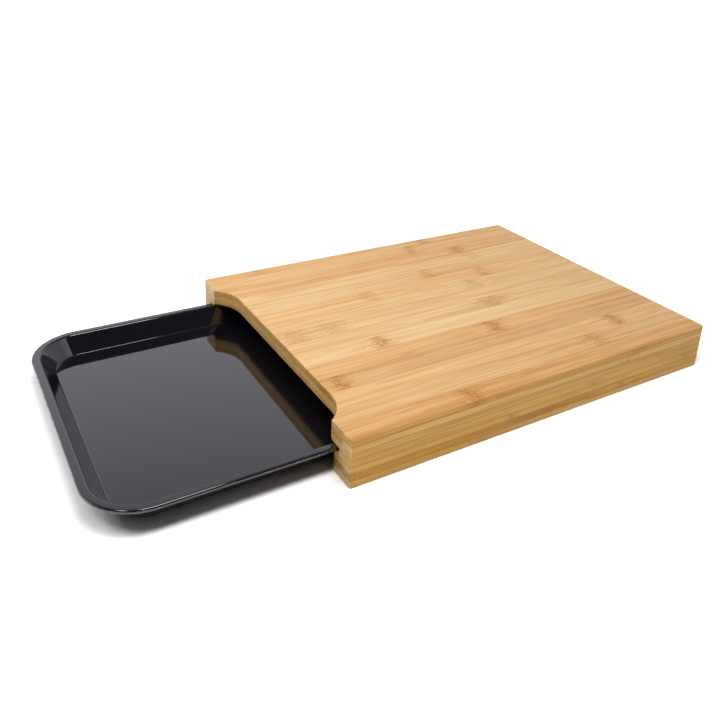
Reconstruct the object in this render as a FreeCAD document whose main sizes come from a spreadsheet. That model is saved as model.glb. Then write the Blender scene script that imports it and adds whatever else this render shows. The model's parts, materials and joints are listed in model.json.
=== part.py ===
"""Bamboo cutting board on rails, with a black plastic tray that slides in grooves under it.

Every length is in millimetres. The pieces are drawn with x running back from the board's open
end face, y across the board from its middle, and z up from the table. Each piece's Placement
then moves it along x, so that the origin is on the table under the middle of the whole object
with the tray drawn out.
"""
import FreeCAD
import Part
import os
import Sketcher

DRIVING_DIMENSIONS = (
    # board
    ("board_length", 380.0, "along the bamboo grain"),
    ("board_width", 295.0, "across the grain"),
    ("slab_ply", 5.7, "thickness of one ply of the slab"),
    ("slab_ply_count", 3, "plies in the slab"),
    ("rail_ply", 5.975, "thickness of one ply of a rail"),
    ("rail_ply_count", 4, "plies in a rail"),
    ("strip_width", 20.3, "a full bamboo strip"),
    ("top_edge_strip", 17.6, "first strip of the top ply, cut narrow by the board's edge"),
    ("core_edge_strip", 12.0, "first strip of the core ply"),
    ("lower_edge_strip", 14.8, "first strip of the lower ply"),
    ("corner_radius", 4.0, "three of the upright corners"),
    ("crisp_corner_radius", 1.4, "the upright corner at the near end of the open side"),
    ("top_arris", 1.2, "rounding round the work surface"),
    ("foot_arris", 1.0, "rounding round the edge that stands on the table"),
    # finger scoop in the slab's open end
    ("scoop_depth", 14.9, "from the end face to the flat of the scoop"),
    ("scoop_radius", 35.0, "curve at each end of the scoop"),
    ("scoop_inset", 57.5, "from the board's long side to where the flat starts"),
    ("scoop_ease", 3.6, "rounding under the scoop's lower edge"),
    # rails and bay
    ("rail_width", 23.5, "side rails and rear rail"),
    ("groove_depth", 7.0, "into the side rail"),
    ("groove_height", 4.2, "down from the slab"),
    # tray
    ("tray_pull", 171.6, "how far the tray stands out of the board"),
    ("tray_length", 355.5, "over the rim"),
    ("tray_width", 257.6, "over the rim"),
    ("rim_top", 23.3, "height of the rim's top face over the table"),
    ("rim_thickness", 3.3, "height of the rim's outer edge"),
    ("rim_width", 6.8, "from the rim's outer edge to the cavity"),
    ("rim_corner_radius", 42.0, "outer corner of the rim"),
    ("rim_outer_round", 1.6, "rounding of the rim's outer top edge"),
    ("rim_lip_round", 1.4, "rounding of the rim's outer lower edge"),
    ("rim_inner_round", 2.5, "rounding from the rim down into the cavity"),
    ("floor_top", 7.0, "height of the tray's floor over the table"),
    ("floor_corner_radius", 25.0, "corner of the floor"),
    ("floor_round", 1.2, "rounding between floor and wall"),
    ("end_wall_run", 11.4, "how far an end wall leans in on its way down"),
    ("side_wall_run", 8.8, "how far a side wall leans in on its way down"),
    ("wall_thickness", 2.4, "walls and floor of the tray"),
)

DERIVED_DIMENSIONS = (
    ("slab_thickness", "slab_ply * slab_ply_count"),
    ("rail_height", "rail_ply * rail_ply_count"),
    ("bay_length", "board_length - rail_width"),
    ("bay_width", "board_width - 2 * rail_width"),
    ("end_face_x", "(tray_pull - board_length) / 2"),
    ("tray_centre_x", "tray_length / 2 - tray_pull"),
    ("tray_underside", "floor_top - wall_thickness"),
    ("wall_lean_scale", "(rim_top - tray_underside) / (rim_top - floor_top)"),
    ("shell_length", "tray_length - 2 * (rim_width - wall_thickness)"),
    ("shell_width", "tray_width - 2 * (rim_width - wall_thickness)"),
    ("shell_radius", "rim_corner_radius - rim_width + wall_thickness"),
)

CUT_MARGIN = 5.0
SAME_PLACE = 0.001
WHOLE_LENGTH = (f"-{CUT_MARGIN}", f"dims.board_length + {CUT_MARGIN}")
NEAR_SIDE = f"-dims.board_width / 2 - {CUT_MARGIN}"
FAR_SIDE = f"dims.board_width / 2 + {CUT_MARGIN}"

document = FreeCAD.newDocument("cutting_board_with_tray")


def make_sheet():
    """Write the driving dimensions, then the ones worked out from them, each with an alias."""
    sheet = document.addObject("Spreadsheet::Sheet", "dims")
    for row, (alias, value, note) in enumerate(DRIVING_DIMENSIONS, start=1):
        sheet.set(f"A{row}", alias)
        sheet.set(f"B{row}", str(value))
        sheet.set(f"C{row}", note)
        sheet.setAlias(f"B{row}", alias)
    first_derived_row = len(DRIVING_DIMENSIONS) + 1
    for row, (alias, formula) in enumerate(DERIVED_DIMENSIONS, start=first_derived_row):
        sheet.set(f"A{row}", alias)
        sheet.set(f"B{row}", f"={formula}")
        sheet.setAlias(f"B{row}", alias)
    document.recompute()
    return sheet


dims = make_sheet()


def size(alias):
    """Read one dimension of the sheet, in millimetres."""
    return float(dims.get(alias))


def bind(target, **formulas):
    """Bind properties of an object to the sheet: a double underscore stands for a dot."""
    for name, formula in formulas.items():
        target.setExpression(name.replace("__", "."), formula)


def origin_plane(body, role):
    """Find one of a body's own origin planes by its role."""
    return next(item for item in body.Origin.OriginFeatures if item.Role == role)


def new_sketch(body, name, height="0"):
    """Add a sketch to a body, level, at a height given as a formula."""
    sketch = body.newObject("Sketcher::SketchObject", name)
    sketch.AttachmentSupport = [(origin_plane(body, "XY_Plane"), "")]
    sketch.MapMode = "FlatFace"
    bind(sketch, AttachmentOffset__Base__z=height)
    return sketch


def line(start, end):
    """A straight piece of an outline, with the ids of its first and last points."""
    segment = Part.LineSegment(FreeCAD.Vector(*start, 0), FreeCAD.Vector(*end, 0))
    return segment, 1, 2


def arc(start, middle, end):
    """A round piece of an outline. Sketcher turns an arc anticlockwise, so ids may swap."""
    points = [FreeCAD.Vector(*point, 0) for point in (start, middle, end)]
    curve = Part.Arc(*points)
    clockwise = (points[1] - points[0]).cross(points[2] - points[1]).z < 0
    if clockwise:
        return curve, 2, 1
    return curve, 1, 2


def close_outline(sketch, pieces, crisp_joints=()):
    """Add pieces that follow each other and join them, tangent except at the crisp joints."""
    for geometry, _, _ in pieces:
        sketch.addGeometry(geometry, False)
    for index in range(len(pieces)):
        following = (index + 1) % len(pieces)
        kind = "Coincident" if index in crisp_joints else "Tangent"
        last_point = pieces[index][2]
        first_point = pieces[following][1]
        sketch.addConstraint(Sketcher.Constraint(kind, index, last_point, following, first_point))


def dimension(sketch, formula, *constraint):
    """Add a dimension to a sketch and bind it to the sheet."""
    index = sketch.addConstraint(Sketcher.Constraint(*constraint))
    sketch.setExpression(f"Constraints[{index}]", formula)


def rounded_rectangle(body, name, length, width, radius, height="0", last_radius=None):
    """Sketch a rectangle with round corners about the body's own origin.

    length, width and radius are formulas on the sheet. The outline runs anticlockwise from the
    side at low y: a line, then the corner after it, four times. The last corner, at low x and
    low y, may have a radius of its own.
    """
    sketch = new_sketch(body, name, height)
    half_x, half_y, corner, bulge = 100.0, 60.0, 20.0, 20.0 * (1 - 0.5 ** 0.5)
    low_y, right, high_y, left = 0, 2, 4, 6
    pieces = [
        line((corner - half_x, -half_y), (half_x - corner, -half_y)),
        arc((half_x - corner, -half_y), (half_x - bulge, bulge - half_y), (half_x, corner - half_y)),
        line((half_x, corner - half_y), (half_x, half_y - corner)),
        arc((half_x, half_y - corner), (half_x - bulge, half_y - bulge), (half_x - corner, half_y)),
        line((half_x - corner, half_y), (corner - half_x, half_y)),
        arc((corner - half_x, half_y), (bulge - half_x, half_y - bulge), (-half_x, half_y - corner)),
        line((-half_x, half_y - corner), (-half_x, corner - half_y)),
        arc((-half_x, corner - half_y), (bulge - half_x, bulge - half_y), (corner - half_x, -half_y)),
    ]
    close_outline(sketch, pieces)
    for side in (low_y, high_y):
        sketch.addConstraint(Sketcher.Constraint("Horizontal", side))
    for side in (right, left):
        sketch.addConstraint(Sketcher.Constraint("Vertical", side))
    for corner_arc in (3, 5):
        sketch.addConstraint(Sketcher.Constraint("Equal", 1, corner_arc))
    sketch.addConstraint(Sketcher.Constraint("Symmetric", low_y, 2, high_y, 2, -1, 1))
    dimension(sketch, radius, "Radius", 1, corner)
    dimension(sketch, last_radius or radius, "Radius", 7, corner)
    dimension(sketch, length, "DistanceX", left, 1, right, 1, 2 * half_x)
    dimension(sketch, width, "DistanceY", low_y, 1, high_y, 1, 2 * half_y)
    return sketch


def pad(body, sketch, name, height):
    """Extrude a sketch upwards by a height given as a formula."""
    feature = body.newObject("PartDesign::Pad", name)
    feature.Profile = sketch
    bind(feature, Length=height)
    document.recompute()
    return feature


def edges_where(shape, test):
    """Names of the edges whose points, taken along each edge, all pass a test."""
    names = []
    for index, edge in enumerate(shape.Edges, start=1):
        if all(test(point) for point in edge.discretize(5)):
            names.append(f"Edge{index}")
    return names


def round_edges(body, name, radius, test):
    """Round the edges of a body's last feature that pass a test."""
    base = body.Tip
    feature = body.newObject("PartDesign::Fillet", name)
    feature.Base = (base, edges_where(base.Shape, test))
    bind(feature, Radius=radius)
    document.recompute()
    return feature


def at_height(height):
    """Test for points at one height."""
    return lambda point: abs(point.z - height) < SAME_PLACE


def new_body(label):
    """Start a PartDesign body."""
    body = document.addObject("PartDesign::Body", label)
    body.Label = label
    return body


def sketch_slab_outline(body):
    """Outline of the slab seen from above, with the finger scoop in its open end."""
    sketch = new_sketch(body, "slab_outline", "dims.rail_height")
    length, half = size("board_length"), size("board_width") / 2
    corner, bulge = size("corner_radius"), size("corner_radius") * (1 - 0.5 ** 0.5)
    crisp, crisp_bulge = size("crisp_corner_radius"), size("crisp_corner_radius") * (1 - 0.5 ** 0.5)
    depth, radius = size("scoop_depth"), size("scoop_radius")
    flat_half = half - size("scoop_inset")
    mouth_half = flat_half + (radius ** 2 - (radius - depth) ** 2) ** 0.5
    middle_half = (flat_half + mouth_half) / 2
    middle_x = depth - radius + (radius ** 2 - (middle_half - flat_half) ** 2) ** 0.5
    pieces = [
        line((crisp, -half), (length - corner, -half)),
        arc((length - corner, -half), (length - bulge, bulge - half), (length, corner - half)),
        line((length, corner - half), (length, half - corner)),
        arc((length, half - corner), (length - bulge, half - bulge), (length - corner, half)),
        line((length - corner, half), (corner, half)),
        arc((corner, half), (bulge, half - bulge), (0, half - corner)),
        line((0, half - corner), (0, mouth_half)),
        arc((0, mouth_half), (middle_x, middle_half), (depth, flat_half)),
        line((depth, flat_half), (depth, -flat_half)),
        arc((depth, -flat_half), (middle_x, -middle_half), (0, -mouth_half)),
        line((0, -mouth_half), (0, crisp - half)),
        arc((0, crisp - half), (crisp_bulge, crisp_bulge - half), (crisp, -half)),
    ]
    near_side, back_end, far_side, far_cheek, scoop_flat, near_cheek = 0, 2, 4, 6, 8, 10
    far_curve, near_curve = 7, 9
    close_outline(sketch, pieces, crisp_joints=(far_cheek, near_curve))
    for side in (near_side, far_side):
        sketch.addConstraint(Sketcher.Constraint("Horizontal", side))
    for side in (back_end, far_cheek, scoop_flat, near_cheek):
        sketch.addConstraint(Sketcher.Constraint("Vertical", side))
    for corner_arc in (3, 5):
        sketch.addConstraint(Sketcher.Constraint("Equal", 1, corner_arc))
    sketch.addConstraint(Sketcher.Constraint("Equal", far_curve, near_curve))
    for cheek in (far_cheek, near_cheek):
        sketch.addConstraint(Sketcher.Constraint("PointOnObject", cheek, 1, -2))
    dimension(sketch, "dims.corner_radius", "Radius", 1, corner)
    dimension(sketch, "dims.crisp_corner_radius", "Radius", 11, crisp)
    dimension(sketch, "dims.scoop_radius", "Radius", near_curve, radius)
    dimension(sketch, "dims.board_length", "DistanceX", back_end, 1, length)
    dimension(sketch, "dims.board_width / 2", "DistanceY", far_side, 1, half)
    dimension(sketch, "dims.board_width", "DistanceY", near_side, 1, far_side, 1, 2 * half)
    dimension(sketch, "dims.scoop_depth", "DistanceX", scoop_flat, 1, depth)
    dimension(sketch, "dims.board_width / 2 - dims.scoop_inset", "DistanceY", scoop_flat, 1, flat_half)
    dimension(sketch, "dims.board_width - 2 * dims.scoop_inset",
              "DistanceY", scoop_flat, 2, scoop_flat, 1, 2 * flat_half)
    return sketch


def make_slab_blank():
    """The whole slab before it is told apart into its strips."""
    body = new_body("slab_blank")
    pad(body, sketch_slab_outline(body), "slab_pad", "dims.slab_thickness")
    underside = size("rail_height")
    mouth_limit = size("board_width") / 2 - size("rail_width")

    def under_scoop(point):
        inside_mouth = abs(point.y) < mouth_limit and point.x < size("scoop_depth") + SAME_PLACE
        return inside_mouth and at_height(underside)(point)

    round_edges(body, "scoop_ease", "dims.scoop_ease", under_scoop)
    round_edges(body, "work_surface_arris", "dims.top_arris",
                at_height(underside + size("slab_thickness")))
    return body


def make_frame_blank():
    """The U of rails before it is told apart into its plies: bay and grooves are cut out."""
    plate = new_body("frame_plate")
    outline = rounded_rectangle(plate, "frame_outline", "dims.board_length", "dims.board_width",
                                "dims.corner_radius", last_radius="dims.crisp_corner_radius")
    pad(plate, outline, "frame_pad", "dims.rail_height")
    round_edges(plate, "foot_arris", "dims.foot_arris", at_height(0))
    bind(plate, Placement__Base__x="dims.board_length / 2")
    open_length = (f"-{CUT_MARGIN}", "dims.bay_length")
    over_the_top = f"dims.rail_height + {CUT_MARGIN}"
    bay = box_between("bay", open_length, ("-dims.bay_width / 2", "dims.bay_width / 2"),
                      (f"-{CUT_MARGIN}", over_the_top))
    groove_back = "dims.bay_width / 2 + dims.groove_depth"
    grooves = box_between("grooves", open_length, (f"-({groove_back})", groove_back),
                          ("dims.rail_height - dims.groove_height", over_the_top))
    hollow = document.addObject("Part::Fuse", "bay_and_grooves")
    hollow.Base = bay
    hollow.Tool = grooves
    blank = document.addObject("Part::Cut", "frame_blank")
    blank.Base = plate
    blank.Tool = hollow
    return blank


def box_between(name, x_span, y_span, z_span):
    """A box between two formulas along each axis."""
    box = document.addObject("Part::Box", name)
    spans = {"Length": ("x", x_span), "Width": ("y", y_span), "Height": ("z", z_span)}
    for side, (axis, (low, high)) in spans.items():
        box.setExpression(f"Placement.Base.{axis}", low)
        box.setExpression(side, f"({high}) - ({low})")
    return box


def piece_of(blank, label, x_span, y_span, z_span):
    """One piece: the part of a blank that lies inside a box, under a label of its own."""
    envelope = box_between(f"{label}_envelope", x_span, y_span, z_span)
    piece = document.addObject("Part::Common", label)
    piece.Label = label
    piece.Base = blank
    piece.Tool = envelope
    bind(piece, Placement__Base__x="dims.end_face_x")
    return piece


def make_slab_strips(blank):
    """The slab's three plies, each a row of strips glued side by side along the grain."""
    strips = []
    edge_strips = {"top": "top_edge_strip", "core": "core_edge_strip", "lower": "lower_edge_strip"}
    for depth, (ply, edge_strip) in enumerate(edge_strips.items(), start=1):
        ply_foot = f"dims.rail_height + (dims.slab_ply_count - {depth}) * dims.slab_ply"
        full_strips = int((size("board_width") - size(edge_strip)) // size("strip_width"))
        joints = [f"dims.{edge_strip} - dims.board_width / 2 + {number} * dims.strip_width"
                  for number in range(full_strips + 1)]
        sides = [NEAR_SIDE, *joints, FAR_SIDE]
        for number, span in enumerate(zip(sides, sides[1:]), start=1):
            strips.append(piece_of(blank, f"{ply}_ply_strip_{number:02d}", WHOLE_LENGTH, span,
                                   (ply_foot, f"{ply_foot} + dims.slab_ply")))
    return strips


def make_rails(blank):
    """Two side rails and the rear rail between them, each a stack of plies."""
    plies = []
    bay_near, bay_far = "-dims.bay_width / 2", "dims.bay_width / 2"
    rear_end = ("dims.bay_length", WHOLE_LENGTH[1])
    spans = {
        "near_rail": (WHOLE_LENGTH, (NEAR_SIDE, bay_near)),
        "far_rail": (WHOLE_LENGTH, (bay_far, FAR_SIDE)),
        "rear_rail": (rear_end, (bay_near, bay_far)),
    }
    for level in range(int(size("rail_ply_count"))):
        height = (f"{level} * dims.rail_ply", f"{level + 1} * dims.rail_ply")
        for rail, (x_span, y_span) in spans.items():
            plies.append(piece_of(blank, f"{rail}_ply_{level + 1}", x_span, y_span, height))
    return plies


def loft(body, kind, name, lower, upper):
    """Join two outlines by straight-ruled walls, adding to the body or cutting from it."""
    feature = body.newObject(kind, name)
    feature.Profile = lower
    feature.Sections = [upper]
    feature.Ruled = True
    document.recompute()
    return feature


def make_tray():
    """The tray: a flat rim round a tapered shell with leaning walls and a flat floor."""
    body = new_body("tray")
    rim = rounded_rectangle(body, "rim_outline", "dims.tray_length", "dims.tray_width",
                            "dims.rim_corner_radius", "dims.rim_top - dims.rim_thickness")
    pad(body, rim, "rim", "dims.rim_thickness")
    shell_foot = rounded_rectangle(
        body, "shell_foot_outline",
        "dims.shell_length - 2 * dims.end_wall_run * dims.wall_lean_scale",
        "dims.shell_width - 2 * dims.side_wall_run * dims.wall_lean_scale",
        "dims.floor_corner_radius + dims.wall_thickness", "dims.tray_underside")
    shell_head = rounded_rectangle(body, "shell_head_outline", "dims.shell_length", "dims.shell_width",
                                   "dims.shell_radius", "dims.rim_top")
    loft(body, "PartDesign::AdditiveLoft", "shell", shell_foot, shell_head)
    cavity_floor = rounded_rectangle(
        body, "cavity_floor_outline",
        "dims.tray_length - 2 * (dims.rim_width + dims.end_wall_run)",
        "dims.tray_width - 2 * (dims.rim_width + dims.side_wall_run)",
        "dims.floor_corner_radius", "dims.floor_top")
    cavity_mouth = rounded_rectangle(
        body, "cavity_mouth_outline", "dims.tray_length - 2 * dims.rim_width",
        "dims.tray_width - 2 * dims.rim_width", "dims.rim_corner_radius - dims.rim_width",
        "dims.rim_top")
    loft(body, "PartDesign::SubtractiveLoft", "cavity", cavity_floor, cavity_mouth)
    half_length, half_width = size("tray_length") / 2, size("tray_width") / 2
    margin = size("rim_width") / 2

    def inside_rim(point):
        return abs(point.x) < half_length - margin and abs(point.y) < half_width - margin

    rim_top = at_height(size("rim_top"))
    round_edges(body, "floor_round", "dims.floor_round", at_height(size("floor_top")))
    round_edges(body, "rim_inner_round", "dims.rim_inner_round",
                lambda point: rim_top(point) and inside_rim(point))
    round_edges(body, "rim_outer_round", "dims.rim_outer_round",
                lambda point: rim_top(point) and not inside_rim(point))
    rim_underside = at_height(size("rim_top") - size("rim_thickness"))
    round_edges(body, "rim_lip_round", "dims.rim_lip_round",
                lambda point: rim_underside(point) and not inside_rim(point))
    round_edges(body, "underside_round", "dims.floor_round + dims.wall_thickness",
                at_height(size("tray_underside")))
    bind(body, Placement__Base__x="dims.end_face_x + dims.tray_centre_x")
    return body


def check_document(parts):
    """Stop unless every object recomputed and every piece is one valid closed solid."""
    for item in document.Objects:
        if "Invalid" in item.State or "Error" in item.State:
            raise RuntimeError(f"{item.Label} did not recompute: {item.State}")
    for part in parts:
        shape = part.Shape
        if shape.isNull() or not shape.isValid():
            raise RuntimeError(f"{part.Label} has no valid shape")
        if len(shape.Solids) != 1:
            raise RuntimeError(f"{part.Label} has {len(shape.Solids)} solids")


def main():
    """Build every piece, check it and write it to its own file."""
    parts = make_slab_strips(make_slab_blank())
    parts += make_rails(make_frame_blank())
    parts.append(make_tray())
    document.recompute()
    check_document(parts)
    os.makedirs("parts", exist_ok=True)
    for part in parts:
        part.Shape.exportStep(f"parts/{part.Label}.step")
    box = FreeCAD.BoundBox()
    for part in parts:
        box.add(part.Shape.optimalBoundingBox(False, False))
    print(f"{len(parts)} pieces, x {box.XMin:.1f} to {box.XMax:.1f}, y {box.YMin:.1f} to {box.YMax:.1f}, "
          f"z {box.ZMin:.1f} to {box.ZMax:.1f}")


main()
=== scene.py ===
"""Looks of a bamboo cutting board with a black drawer tray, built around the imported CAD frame.

The board is a slab of three bamboo plies glued on two grooved rails and a rear rail. Every strip and ply
keeps its CAD solid and gets its own bamboo, cut from one shared grain. The tray's CAD solid is replaced by a
moulded shell with clean fillets, because gloss black shows every facet.

All lengths are in metres, in the frame's own axes: X along the board, away from the tray, Y across it, Z up.
"""

import json
import logging
import math
from dataclasses import dataclass, field
from enum import Enum
from typing import Sequence, Union

import bpy
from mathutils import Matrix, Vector

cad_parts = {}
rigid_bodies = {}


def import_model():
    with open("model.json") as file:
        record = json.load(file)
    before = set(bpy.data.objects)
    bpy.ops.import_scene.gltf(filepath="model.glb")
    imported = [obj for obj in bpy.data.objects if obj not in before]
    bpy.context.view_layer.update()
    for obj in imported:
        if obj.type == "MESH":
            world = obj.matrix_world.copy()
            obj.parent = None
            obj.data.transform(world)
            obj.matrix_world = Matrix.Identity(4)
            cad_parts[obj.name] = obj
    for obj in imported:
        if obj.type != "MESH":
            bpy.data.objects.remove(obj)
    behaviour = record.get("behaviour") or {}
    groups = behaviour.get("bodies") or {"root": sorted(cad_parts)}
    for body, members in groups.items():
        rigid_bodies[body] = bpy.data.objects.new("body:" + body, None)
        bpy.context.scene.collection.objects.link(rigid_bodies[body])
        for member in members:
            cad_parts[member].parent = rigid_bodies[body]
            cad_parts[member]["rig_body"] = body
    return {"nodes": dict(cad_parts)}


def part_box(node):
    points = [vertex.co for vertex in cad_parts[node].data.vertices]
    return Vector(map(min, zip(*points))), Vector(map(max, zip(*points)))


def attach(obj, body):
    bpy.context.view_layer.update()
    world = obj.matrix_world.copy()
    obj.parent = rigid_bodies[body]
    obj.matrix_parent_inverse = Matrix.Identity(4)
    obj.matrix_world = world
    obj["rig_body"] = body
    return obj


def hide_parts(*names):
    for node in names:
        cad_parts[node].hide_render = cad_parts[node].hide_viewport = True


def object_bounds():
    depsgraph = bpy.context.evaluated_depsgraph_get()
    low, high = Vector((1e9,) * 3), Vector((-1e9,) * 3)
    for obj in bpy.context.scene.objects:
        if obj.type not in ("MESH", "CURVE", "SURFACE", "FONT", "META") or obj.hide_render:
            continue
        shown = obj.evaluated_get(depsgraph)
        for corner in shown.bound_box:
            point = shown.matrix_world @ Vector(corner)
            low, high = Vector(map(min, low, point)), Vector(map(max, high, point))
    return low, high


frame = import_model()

LOG = logging.getLogger("cutting_board")
CAD_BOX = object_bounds()
MM = 0.001
NOT_ZERO = 0.001

Colour = tuple[float, float, float]
Socket = bpy.types.NodeSocket
Value = Union[float, Sequence[float], Socket]


def linear(red: int, green: int, blue: int) -> Colour:
    """Turn a display colour into the linear colour that a shader socket takes.

    Args:
        red: display red, 0 to 255.
        green: display green, 0 to 255.
        blue: display blue, 0 to 255.

    Returns:
        The linear red, green and blue.
    """

    def one(channel: int) -> float:
        """Return one channel's linear value."""
        share = channel / 255
        return share / 12.92 if share <= 0.04045 else ((share + 0.055) / 1.055) ** 2.4

    return one(red), one(green), one(blue)


# -------------------------------------- shader trees


class ShaderTree:
    """A node tree with short calls for the nodes that the finishes are written in."""

    def __init__(self, tree: bpy.types.NodeTree) -> None:
        """Wrap a tree.

        Args:
            tree: the material's, world's or group's node tree.
        """
        self.tree = tree

    def node(self, kind: str, **settings: object) -> bpy.types.Node:
        """Add a node.

        Args:
            kind: the node's type name in Blender.
            settings: the node's own properties, by name.

        Returns:
            The new node.
        """
        made = self.tree.nodes.new(kind)
        for name, setting in settings.items():
            setattr(made, name, setting)
        return made

    def feed(self, socket: Socket, value: Value) -> None:
        """Link a socket to another one, or write a constant on it.

        Args:
            socket: the input that is fed.
            value: an output socket, a number, or a vector or colour of three.
        """
        if isinstance(value, Socket):
            self.tree.links.new(value, socket)
        elif isinstance(value, (int, float)):
            socket.default_value = value
        else:
            parts = list(value)
            socket.default_value = parts + [1.0] if len(socket.default_value) > len(parts) else parts

    def math(self, operation: str, *values: Value) -> Socket:
        """Return the output of a Math node, its inputs fed in order."""
        made = self.node("ShaderNodeMath", operation=operation)
        for socket, value in zip(made.inputs, values):
            self.feed(socket, value)
        return made.outputs[0]

    def vector(self, operation: str, *values: Value) -> Socket:
        """Return the vector output of a Vector Math node, its inputs fed in order."""
        made = self.node("ShaderNodeVectorMath", operation=operation)
        for socket, value in zip(made.inputs, values):
            self.feed(socket, value)
        return made.outputs["Vector"]

    def join(self, x: Value, y: Value, z: Value) -> Socket:
        """Return a vector made of three values."""
        made = self.node("ShaderNodeCombineXYZ")
        for socket, value in zip(made.inputs, (x, y, z)):
            self.feed(socket, value)
        return made.outputs[0]

    def split(self, vector: Value) -> tuple[Socket, ...]:
        """Return the three parts of a vector."""
        made = self.node("ShaderNodeSeparateXYZ")
        self.feed(made.inputs[0], vector)
        return tuple(made.outputs)

    def noise(
        self, place: Value, waves: Sequence[float], detail: float = 1.0, distortion: float = 0.0
    ) -> Socket:
        """Add a Noise Texture.

        Args:
            place: the point to read it at.
            waves: how many waves it has in a metre along X, Y and Z.
            detail: number of finer octaves.
            distortion: how far the pattern is stirred.

        Returns:
            The noise, about 0.2 to 0.8.
        """
        scaled = self.vector("MULTIPLY", place, waves)
        made = self.node("ShaderNodeTexNoise")
        self.feed(made.inputs["Vector"], scaled)
        made.inputs["Scale"].default_value = 1.0
        made.inputs["Detail"].default_value = detail
        made.inputs["Distortion"].default_value = distortion
        return made.outputs[0]

    def times(self, first: Value, second: Value) -> Socket:
        """Return the product of two numbers."""
        return self.math("MULTIPLY", first, second)

    def swing(self, place: Value, waves: Sequence[float], detail: float = 1.0) -> Socket:
        """Return noise centred on 0."""
        return self.math("SUBTRACT", self.noise(place, waves, detail), 0.5)

    def step(self, value: Value, low: Value, high: Value, start: Value = 0.0, end: Value = 1.0) -> Socket:
        """Ease a value smoothly from one level to another.

        Args:
            value: the value that is read.
            low: where the change starts.
            high: where it ends.
            start: the level before low.
            end: the level after high.

        Returns:
            The eased level.
        """
        made = self.node("ShaderNodeMapRange", interpolation_type="SMOOTHSTEP")
        for socket, part in zip(made.inputs, (value, low, high, start, end)):
            self.feed(socket, part)
        return made.outputs[0]

    def fade(self, value: Value, low: Value, high: Value) -> Socket:
        """Return 1 up to the low value, 0 from the high one and a smooth fall between them."""
        return self.step(value, low, high, 1.0, 0.0)

    def blend(self, share: Value, first: Value, second: Value, mode: str = "MIX") -> Socket:
        """Mix two colours.

        Args:
            share: how much of the second one shows, 0 to 1.
            first: colour at a share of 0.
            second: colour at a share of 1.
            mode: Blender's name of the blend.

        Returns:
            The mixed colour.
        """
        made = self.node("ShaderNodeMix", data_type="RGBA", blend_type=mode, clamp_factor=True)
        for socket, value in zip((made.inputs[0], made.inputs[6], made.inputs[7]), (share, first, second)):
            self.feed(socket, value)
        return made.outputs[2]

    def place(self, group: bpy.types.NodeTree, **values: Value) -> bpy.types.Node:
        """Add a node group.

        Args:
            group: the group's tree.
            values: what its inputs are fed, by name, with _ for a space.

        Returns:
            The group's node.
        """
        made = self.node("ShaderNodeGroup", node_tree=group)
        for name, value in values.items():
            self.feed(made.inputs[name.replace("_", " ")], value)
        return made


class Kind(Enum):
    """The types that a group's socket may have."""

    NUMBER = "NodeSocketFloat"
    VECTOR = "NodeSocketVector"
    COLOUR = "NodeSocketColor"


class GroupTree(ShaderTree):
    """A shader node group with named inputs and outputs."""

    def __init__(self, name: str, inputs: dict[str, Kind], outputs: dict[str, Kind]) -> None:
        """Make an empty group.

        Args:
            name: the group's name.
            inputs: its input sockets and their types.
            outputs: its output sockets and their types.
        """
        super().__init__(bpy.data.node_groups.new(name, "ShaderNodeTree"))
        for side, sockets in (("INPUT", inputs), ("OUTPUT", outputs)):
            for label, kind in sockets.items():
                self.tree.interface.new_socket(name=label, in_out=side, socket_type=kind.value)
        self.given = self.node("NodeGroupInput").outputs
        self.result = self.node("NodeGroupOutput").inputs


def grain_group() -> bpy.types.NodeTree:
    """Build bamboo's long grain: soft tone streaks, ribbons and thin darker fibre lines, all along X.

    Faces that are cut across the grain show the same fibres as dots, because the pattern fills the solid.

    Returns:
        A group that puts out the colour, a roughness and a height.
    """
    tree = GroupTree(
        "bamboo grain",
        {"Position": Kind.VECTOR, "Seed": Kind.NUMBER, "Pale": Kind.COLOUR, "Body": Kind.COLOUR,
         "Dark": Kind.COLOUR, "Streaks": Kind.NUMBER, "Fibres": Kind.NUMBER, "Lines": Kind.NUMBER,
         "Wander": Kind.NUMBER},
        {"Colour": Kind.COLOUR, "Roughness": Kind.NUMBER, "Height": Kind.NUMBER},
    )
    given = tree.given
    shift = tree.vector("MULTIPLY", given["Seed"], (0.731, 0.173, 0.311))
    place = tree.vector("ADD", given["Position"], shift)
    drift = tree.swing(place, (14.0, 40.0, 40.0), 2.0)
    stirred = tree.swing(place, (130.0, 170.0, 170.0))
    stirred = tree.times(stirred, tree.times(given["Wander"], 6.0 * MM))
    aside = tree.math("ADD", tree.times(drift, 4.0 * MM), stirred)
    place = tree.vector("ADD", place, tree.join(0.0, aside, aside))

    def strands(along: float, across: float, detail: float = 1.0) -> Socket:
        """Return noise drawn out along X, centred on 0."""
        return tree.swing(place, (along, across, across), detail)

    streaks = tree.times(strands(5.0, 140.0), given["Streaks"])
    ribbons = tree.times(strands(9.0, 420.0), given["Fibres"])
    fibres = tree.times(strands(22.0, 1300.0), given["Fibres"])
    tone = tree.math("ADD", tree.math("ADD", streaks, ribbons), fibres)
    tone = tree.math("ADD", tone, 0.5)
    lower = tree.blend(tree.times(tone, 2.0), given["Dark"], given["Body"])
    upper = tree.blend(tree.math("MULTIPLY_ADD", tone, 2.0, -1.0), lower, given["Pale"])
    thin = tree.step(strands(7.0, 640.0, 0.0), 0.07, 0.2)
    hair = tree.step(strands(11.0, 1100.0, 0.0), 0.1, 0.24)
    thin = tree.math("MAXIMUM", thin, tree.times(hair, 0.7))
    thin = tree.times(thin, given["Lines"])
    tree.feed(tree.result["Colour"], tree.blend(thin, upper, given["Dark"]))
    tree.feed(tree.result["Roughness"], tree.math("MULTIPLY_ADD", tone, -0.16, 0.52))
    tree.feed(tree.result["Height"], tree.math("SUBTRACT", tone, thin))
    return tree.tree


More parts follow.
